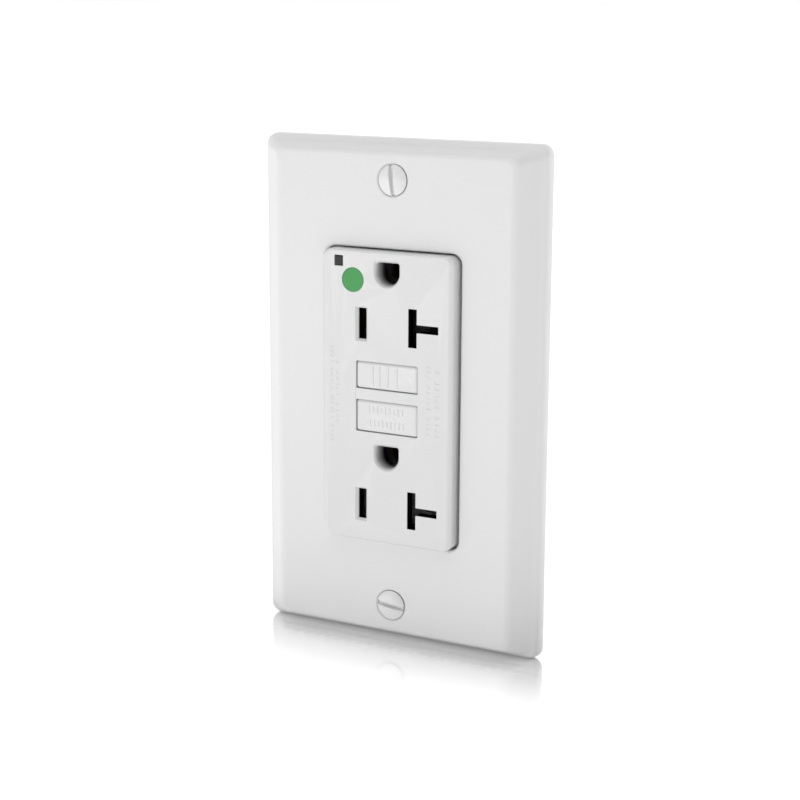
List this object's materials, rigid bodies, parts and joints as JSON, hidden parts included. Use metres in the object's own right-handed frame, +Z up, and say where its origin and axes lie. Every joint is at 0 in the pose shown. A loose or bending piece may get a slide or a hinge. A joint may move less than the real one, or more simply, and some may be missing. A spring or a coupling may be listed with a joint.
{
  "type": "gfci outlet",
  "caption": "Ground-fault duplex receptacle for a wall box, with rectangular wall plate, test and reset buttons, T-shaped neutral slots, side terminals and trip mechanism.",
  "frame": {"origin": "centre of the receptacle's front face, on the web between the two buttons; the wall plane is 9.2 mm behind it", "axes": "+X to the right seen from the front, +Y into the wall, +Z up with the ground holes above the blade slots"},
  "size_m": [0.0698, 0.0392, 0.1142],
  "materials": {
    "plate_white": "glossy moulded nylon, slightly warm white",
    "device_white": "satin moulded thermoplastic, white",
    "screw_white": "white enamel on steel",
    "lamp_window": "dark translucent lens, drawn opaque",
    "lamp_red": "clear red epoxy",
    "green_mark": "flat green inlay",
    "body_grey": "dark grey thermoplastic, fine texture",
    "middle_grey": "light grey thermoplastic",
    "zinc": "zinc-plated steel",
    "brass": "brass",
    "silver": "nickel-plated brass",
    "green_metal": "green-dyed plated steel",
    "copper": "enamelled copper",
    "steel": "plain steel",
    "board_green": "solder mask on glass epoxy",
    "black_plastic": "black moulded plastic",
    "blue_epoxy": "blue epoxy coating",
    "yellow_film": "yellow film wrap",
    "tan_body": "tan enamel",
    "fibre": "vulcanised fibre"
  },
  "bodies": {
    "root": {"wall_plate": "plate_white", "front_cover": "device_white", "led_light_pipe": "lamp_window", "status_led": "lamp_red", "green_dot": "green_mark", "mounting_strap": "zinc", "ground_contact_upper": "brass", "ground_contact_lower": "brass", "self_ground_clip": "brass", "screw_retainer_upper": "fibre", "screw_retainer_lower": "fibre", "middle_housing": "middle_grey", "rear_body": "body_grey", "assembly_screw_1": "steel", "assembly_screw_2": "steel", "assembly_screw_3": "steel", "assembly_screw_4": "steel", "load_contact_hot": "brass", "load_contact_neutral": "silver", "line_terminal_hot": "brass", "line_terminal_neutral": "silver", "line_lead_hot": "copper", "line_lead_neutral": "copper", "circuit_board": "board_green", "sensor_housing": "black_plastic", "sensor_core_front": "copper", "sensor_core_rear": "copper", "surge_varistor": "blue_epoxy", "filter_capacitor": "yellow_film", "control_chip": "black_plastic", "trip_thyristor": "black_plastic", "test_resistor": "tan_body", "solenoid_frame": "zinc", "solenoid_bobbin": "black_plastic", "solenoid_coil": "copper", "plunger_spring": "steel", "reset_spring": "steel"},
    "test_button": {"test_button": "device_white"},
    "test_contact": {"test_contact": "brass"},
    "reset_button": {"reset_button": "device_white", "reset_pin": "steel"},
    "plunger": {"solenoid_plunger": "steel"},
    "carrier": {"contact_carrier": "device_white"},
    "latch": {"latch_plate": "steel"},
    "arm_hot": {"contact_arm_hot": "brass"},
    "arm_neutral": {"contact_arm_neutral": "silver"},
    "ground_screw": {"ground_screw": "green_metal"},
    "plate_screw_upper": {"plate_screw_upper": "screw_white"},
    "plate_screw_lower": {"plate_screw_lower": "screw_white"},
    "mounting_screw_upper": {"mounting_screw_upper": "zinc"},
    "mounting_screw_lower": {"mounting_screw_lower": "zinc"},
    "clamp_load_hot": {"wire_clamp_load_hot": "brass"},
    "screw_load_hot": {"terminal_screw_load_hot": "brass"},
    "clamp_load_neutral": {"wire_clamp_load_neutral": "silver"},
    "screw_load_neutral": {"terminal_screw_load_neutral": "silver"},
    "clamp_line_hot": {"wire_clamp_line_hot": "brass"},
    "screw_line_hot": {"terminal_screw_line_hot": "brass"},
    "clamp_line_neutral": {"wire_clamp_line_neutral": "silver"},
    "screw_line_neutral": {"terminal_screw_line_neutral": "silver"}
  },
  "joints": [
    {"name": "test_press", "type": "slide", "parent": "root", "child": "test_button", "axis": [0, 1, 0], "range_m": [0, 0.0016]},
    {"name": "test_contact_flex", "type": "hinge", "parent": "root", "child": "test_contact", "pos_m": [-0.009, 0.01365, 0.0052], "axis": [0, 0, 1], "range_deg": [0, 10.6]},
    {"name": "reset_press", "type": "slide", "parent": "root", "child": "reset_button", "axis": [0, 1, 0], "range_m": [0, 0.002], "deforming": ["reset_spring"]},
    {"name": "plunger_strike", "type": "slide", "parent": "root", "child": "plunger", "axis": [0, 0, -1], "range_m": [0, 0.002], "deforming": ["plunger_spring"]},
    {"name": "carrier_drop", "type": "slide", "parent": "root", "child": "carrier", "axis": [0, 1, 0], "range_m": [0, 0.0012]},
    {"name": "latch_release", "type": "slide", "parent": "carrier", "child": "latch", "axis": [0, 0, -1], "range_m": [0, 0.002]},
    {"name": "arm_hot_flex", "type": "hinge", "parent": "root", "child": "arm_hot", "pos_m": [-0.0063, 0.0224, -0.014], "axis": [-1, 0, 0], "range_deg": [0, 6.8]},
    {"name": "arm_neutral_flex", "type": "hinge", "parent": "root", "child": "arm_neutral", "pos_m": [0.0063, 0.0224, -0.014], "axis": [-1, 0, 0], "range_deg": [0, 6.8]},
    {"name": "clamp_load_hot_close", "type": "slide", "parent": "root", "child": "clamp_load_hot", "axis": [1, 0, 0], "range_m": [0, 0.00187]},
    {"name": "screw_load_hot_turn", "type": "hinge", "parent": "clamp_load_hot", "child": "screw_load_hot", "pos_m": [-0.0185, 0.0252, 0.014], "axis": [1, 0, 0], "range_deg": [0, 850]},
    {"name": "clamp_load_neutral_close", "type": "slide", "parent": "root", "child": "clamp_load_neutral", "axis": [-1, 0, 0], "range_m": [0, 0.00187]},
    {"name": "screw_load_neutral_turn", "type": "hinge", "parent": "clamp_load_neutral", "child": "screw_load_neutral", "pos_m": [0.0185, 0.0252, 0.014], "axis": [-1, 0, 0], "range_deg": [0, 850]},
    {"name": "clamp_line_hot_close", "type": "slide", "parent": "root", "child": "clamp_line_hot", "axis": [1, 0, 0], "range_m": [0, 0.00187]},
    {"name": "screw_line_hot_turn", "type": "hinge", "parent": "clamp_line_hot", "child": "screw_line_hot", "pos_m": [-0.0185, 0.0252, -0.014], "axis": [1, 0, 0], "range_deg": [0, 850]},
    {"name": "clamp_line_neutral_close", "type": "slide", "parent": "root", "child": "clamp_line_neutral", "axis": [-1, 0, 0], "range_m": [0, 0.00187]},
    {"name": "screw_line_neutral_turn", "type": "hinge", "parent": "clamp_line_neutral", "child": "screw_line_neutral", "pos_m": [0.0185, 0.0252, -0.014], "axis": [-1, 0, 0], "range_deg": [0, 850]},
    {"name": "ground_screw_turn", "type": "hinge", "parent": "root", "child": "ground_screw", "pos_m": [0.02, 0.0144, 0.0253], "axis": [1, 0, 0], "range_deg": [0, 810]},
    {"name": "plate_screw_upper_turn", "type": "hinge", "parent": "root", "child": "plate_screw_upper", "pos_m": [0, 0.0062, 0.04841], "axis": [0, -1, 0], "range_deg": [0, 810]},
    {"name": "plate_screw_lower_turn", "type": "hinge", "parent": "root", "child": "plate_screw_lower", "pos_m": [0, 0.0062, -0.04841], "axis": [0, -1, 0], "range_deg": [0, 810]},
    {"name": "mounting_screw_upper_turn", "type": "hinge", "parent": "root", "child": "mounting_screw_upper", "pos_m": [0, 0.0092, 0.04167], "axis": [0, -1, 0], "range_deg": [0, 810]},
    {"name": "mounting_screw_lower_turn", "type": "hinge", "parent": "root", "child": "mounting_screw_lower", "pos_m": [0, 0.0092, -0.04167], "axis": [0, -1, 0], "range_deg": [0, 810]}
  ],
  "couplings": [
    {"joint": "test_contact_flex", "follows": "test_press", "rad_per_m": 114.6},
    {"joint": "carrier_drop", "follows": "plunger_strike", "ratio": 0.6},
    {"joint": "latch_release", "follows": "plunger_strike", "ratio": 1},
    {"joint": "arm_hot_flex", "follows": "plunger_strike", "rad_per_m": 58.5},
    {"joint": "arm_neutral_flex", "follows": "plunger_strike", "rad_per_m": 58.5},
    {"joint": "screw_load_hot_turn", "follows": "clamp_load_hot_close", "rad_per_m": 7915.8},
    {"joint": "screw_load_neutral_turn", "follows": "clamp_load_neutral_close", "rad_per_m": 7915.8},
    {"joint": "screw_line_hot_turn", "follows": "clamp_line_hot_close", "rad_per_m": 7915.8},
    {"joint": "screw_line_neutral_turn", "follows": "clamp_line_neutral_close", "rad_per_m": 7915.8}
  ]
}
